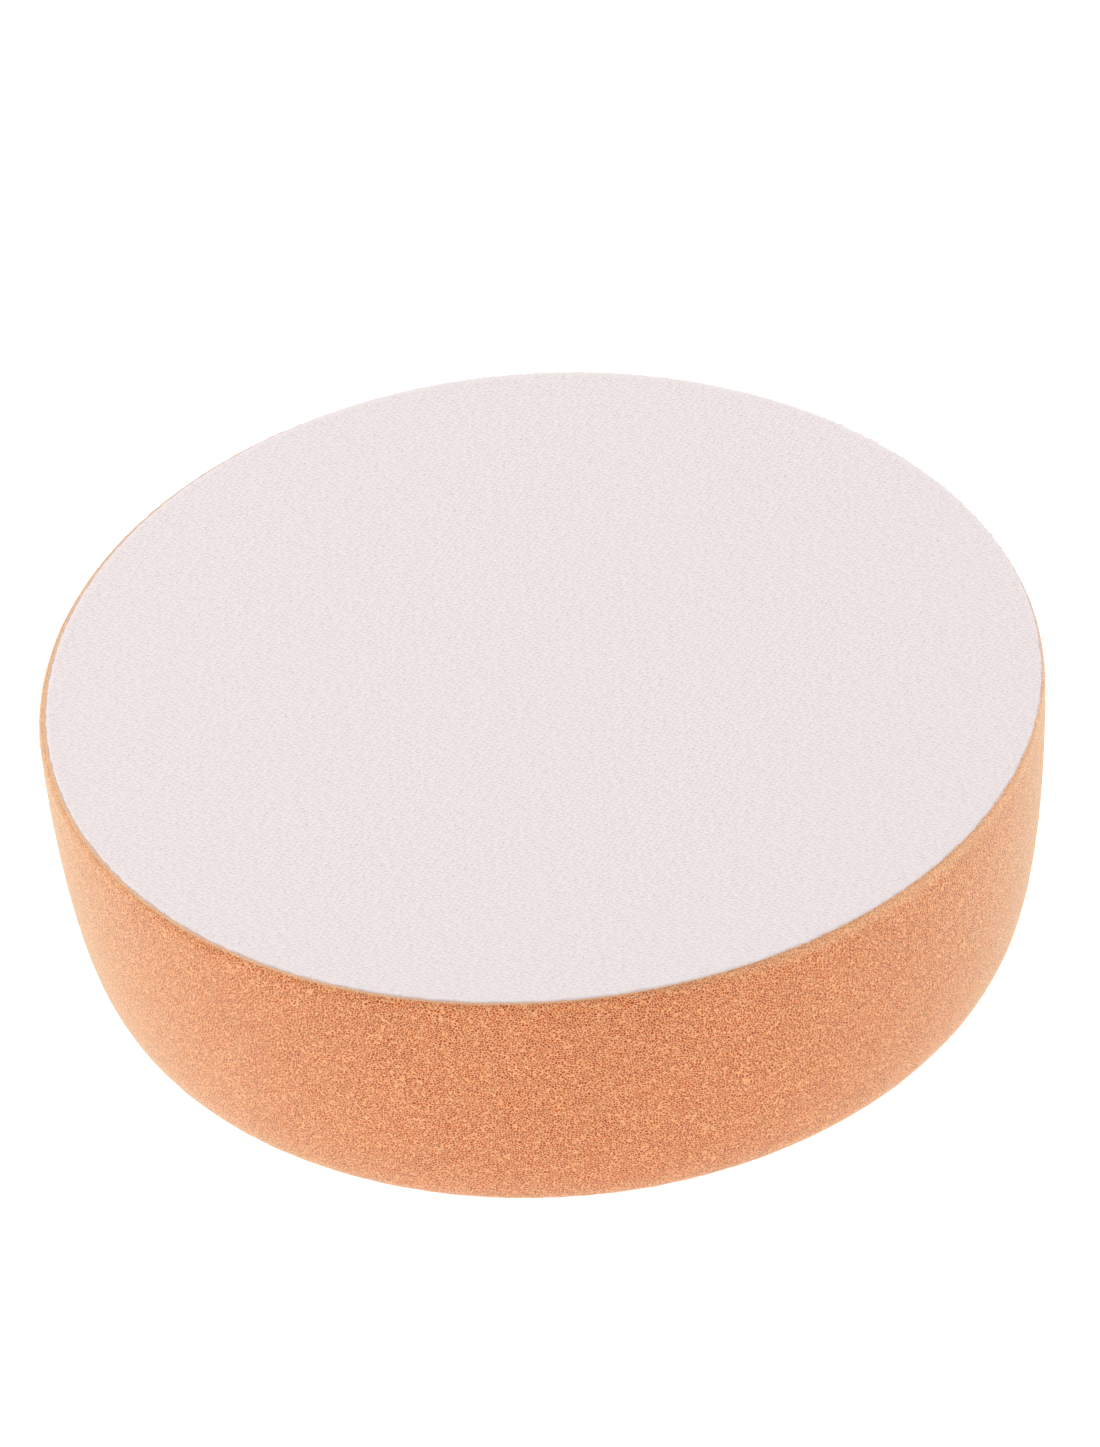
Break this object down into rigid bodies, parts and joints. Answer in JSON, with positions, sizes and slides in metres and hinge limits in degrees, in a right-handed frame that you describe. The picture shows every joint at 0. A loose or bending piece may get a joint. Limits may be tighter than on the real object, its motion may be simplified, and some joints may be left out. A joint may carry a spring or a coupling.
{
  "type": "foam polishing pad",
  "caption": "Round foam polishing pad with a curved-in side, a flat working face and a loop-fabric back for a hook backing plate.",
  "frame": {"origin": "centre of the flat working face, which is the lowest plane of the pad as it lies", "axes": "+Z along the turning axis, from the working face to the loop face; X and Y are any two directions across the round pad"},
  "size_m": [0.15, 0.15, 0.045],
  "materials": {
    "foam": "matte",
    "adhesive": "satin",
    "ground_cloth": "matte",
    "loops": "matte"
  },
  "bodies": {
    "root": {"foam_disc": "foam", "adhesive_film": "adhesive", "ground_cloth": "ground_cloth", "loop_pile": "loops"}
  },
  "joints": []
}
